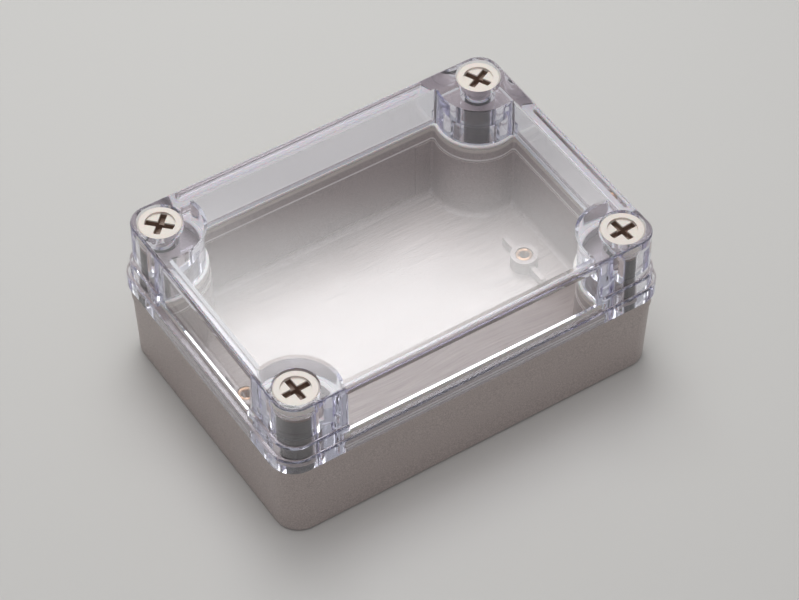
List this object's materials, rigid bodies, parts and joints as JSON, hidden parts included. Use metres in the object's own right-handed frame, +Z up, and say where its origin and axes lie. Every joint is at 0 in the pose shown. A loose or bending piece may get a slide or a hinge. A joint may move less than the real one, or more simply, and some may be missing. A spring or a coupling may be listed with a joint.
{
  "type": "junction box",
  "caption": "Small rectangular junction box with a clear screw-down lid on a shallow moulded tub, sealed by a tongue and gasket.",
  "frame": {"origin": "middle of the face that the box rests on", "axes": "+X along the box, +Y across it away from the viewer, +Z up through the lid"},
  "size_m": [0.083, 0.0594, 0.034],
  "materials": {
    "tub_abs": "fine satin moulding",
    "lid_polycarbonate": "clear polished moulding",
    "seal_silicone": "translucent soft rubber",
    "cap_nylon": "satin moulded nylon",
    "screw_steel": "darkened plated steel",
    "insert_brass": "turned"
  },
  "bodies": {
    "tub": {"base_tub": "tub_abs", "board_insert_left": "insert_brass", "board_insert_right": "insert_brass"},
    "lid": {"clear_lid": "lid_polycarbonate", "lid_gasket": "seal_silicone"},
    "screw_front_left": {"lid_screw_front_left": "screw_steel", "screw_cap_front_left": "cap_nylon"},
    "screw_front_right": {"lid_screw_front_right": "screw_steel", "screw_cap_front_right": "cap_nylon"},
    "screw_back_left": {"lid_screw_back_left": "screw_steel", "screw_cap_back_left": "cap_nylon"},
    "screw_back_right": {"lid_screw_back_right": "screw_steel", "screw_cap_back_right": "cap_nylon"}
  },
  "joints": [
    {"name": "lid_lift", "type": "slide", "parent": "tub", "child": "lid", "axis": [0, 0, 1], "range_m": [0, 0.03]},
    {"name": "screw_front_left_out", "type": "slide", "parent": "lid", "child": "screw_front_left", "axis": [0, 0, 1], "range_m": [0, 0.0085]},
    {"name": "screw_front_right_out", "type": "slide", "parent": "lid", "child": "screw_front_right", "axis": [0, 0, 1], "range_m": [0, 0.0085]},
    {"name": "screw_back_left_out", "type": "slide", "parent": "lid", "child": "screw_back_left", "axis": [0, 0, 1], "range_m": [0, 0.0085]},
    {"name": "screw_back_right_out", "type": "slide", "parent": "lid", "child": "screw_back_right", "axis": [0, 0, 1], "range_m": [0, 0.0085]}
  ]
}
